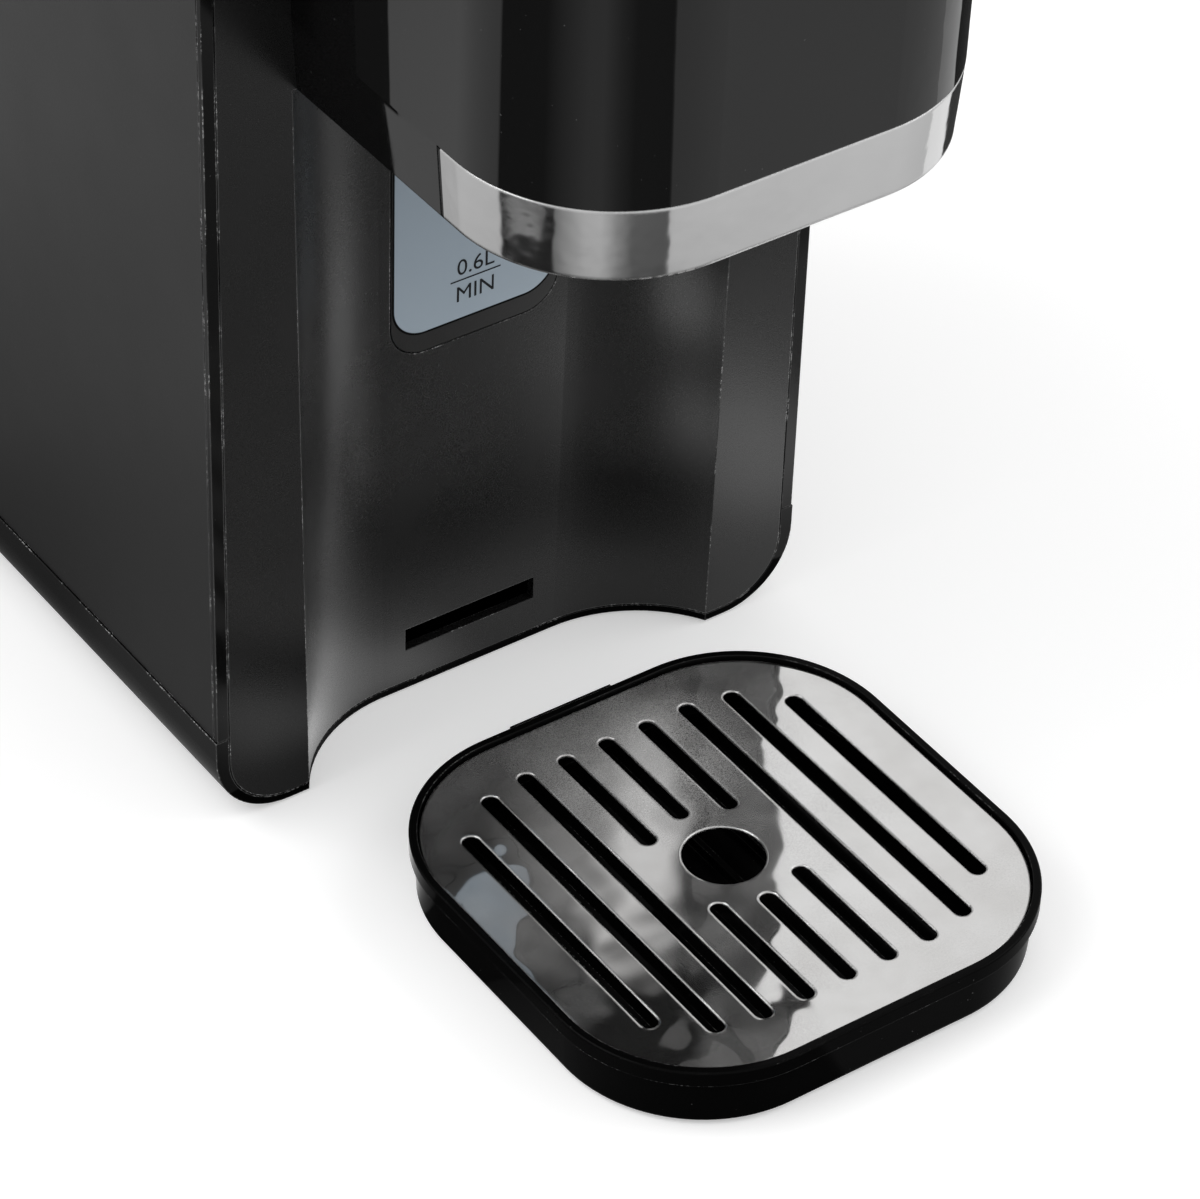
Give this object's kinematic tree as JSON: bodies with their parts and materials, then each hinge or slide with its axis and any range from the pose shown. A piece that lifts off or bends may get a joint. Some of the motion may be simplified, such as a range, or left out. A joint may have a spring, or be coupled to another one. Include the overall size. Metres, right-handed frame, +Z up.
{
  "type": "instant hot water dispenser",
  "caption": "Countertop hot water dispenser: recessed front with level window, overhanging head with spout, lift-out tank with hinged lid, and a sliding drip tray with lift-off plate.",
  "frame": {"origin": "on the counter, under the middle of the whole machine's outline with its tray drawn forward as pictured", "axes": "+X right seen from the front, +Y towards the back, +Z up"},
  "size_m": [0.1728, 0.3426, 0.3],
  "materials": {
    "casing_charcoal": "fine satin grain",
    "panel_black": "dark satin grain",
    "base_black": "half gloss",
    "head_gloss_black": "piano gloss",
    "trim_gloss_black": "gloss",
    "tray_gloss_black": "gloss",
    "touch_glass_black": "gloss with pale markings",
    "band_chrome": "polished chrome",
    "plate_steel": "mirror polished stainless sheet",
    "window_translucent": "frosted blue grey with black level marks",
    "tank_clear": "smoke clear",
    "tank_black": "satin",
    "foot_rubber": "matt",
    "seal_silicone": "matt silicone",
    "hose_silicone": "milky silicone",
    "inner_grey": "moulded",
    "inner_white": "moulded",
    "screw_steel": "zinc plated",
    "stainless": "turned stainless",
    "bracket_steel": "zinc",
    "board_green": "solder mask",
    "sink_aluminium": "extruded",
    "relay_black": "moulded",
    "wire_black": "matt",
    "wire_red": "matt"
  },
  "bodies": {
    "housing": {"base_tub": "base_black", "front_panel": "panel_black", "level_window": "window_translucent", "left_side_cover": "casing_charcoal", "right_side_cover": "casing_charcoal", "left_trim_strip": "trim_gloss_black", "right_trim_strip": "trim_gloss_black", "rear_cover": "casing_charcoal", "top_deck": "casing_charcoal", "head_shell": "head_gloss_black", "chrome_band": "band_chrome", "head_underside": "panel_black", "outlet_nozzle": "tank_black", "steam_separator": "inner_white", "touch_panel": "touch_glass_black", "control_board": "board_green", "rubber_feet": "foot_rubber", "base_screws": "screw_steel", "head_screws": "screw_steel", "rear_cover_screws": "screw_steel", "cable_gland": "tank_black", "tank_shelf": "inner_grey", "dock_port": "inner_white", "dock_seal": "seal_silicone", "dock_pin": "inner_white", "flow_meter": "inner_white", "pump_head": "relay_black", "pump_motor": "stainless", "pump_mount": "foot_rubber", "heater_tube": "stainless", "heater_end_caps": "inner_white", "heater_bracket": "bracket_steel", "thermal_cutout": "relay_black", "temperature_sensor": "stainless", "inlet_hose": "hose_silicone", "pump_inlet_hose": "hose_silicone", "pump_outlet_hose": "hose_silicone", "hot_water_hose": "hose_silicone", "power_board": "board_green", "board_relay": "relay_black", "board_heatsink": "sink_aluminium", "terminal_block": "inner_white", "mains_lead": "wire_black", "heater_leads": "wire_red", "control_cable": "wire_black"},
    "water_tank": {"tank_shell": "tank_clear", "tank_rim": "tank_black", "valve_cage": "inner_white", "tank_filter": "inner_white", "valve_spring": "stainless", "lid_hinge_pins": "stainless"},
    "tank_valve": {"valve_stem": "inner_white", "valve_seal": "seal_silicone"},
    "tank_lid": {"tank_lid": "tank_black"},
    "drip_tray": {"drip_tray": "tray_gloss_black", "tray_feet": "foot_rubber"},
    "drip_plate": {"drip_plate": "plate_steel"}
  },
  "joints": [
    {"name": "tray_slide", "type": "slide", "parent": "housing", "child": "drip_tray", "axis": [0, 1, 0], "range_m": [-0.08, 0.0432]},
    {"name": "plate_lift", "type": "slide", "parent": "drip_tray", "child": "drip_plate", "axis": [0, 0, 1], "range_m": [0, 0.05]},
    {"name": "tank_lift", "type": "slide", "parent": "housing", "child": "water_tank", "axis": [0, 0, 1], "range_m": [0, 0.22]},
    {"name": "lid_hinge", "type": "hinge", "parent": "water_tank", "child": "tank_lid", "pos_m": [0, 0.1567, 0.2943], "axis": [-1, 0, 0], "range_deg": [0, 95]},
    {"name": "valve_travel", "type": "slide", "parent": "water_tank", "child": "tank_valve", "axis": [0, 0, 1], "range_m": [0, 0.003], "stiffness_N_per_m": 60, "deforming": ["valve_spring"]}
  ]
}
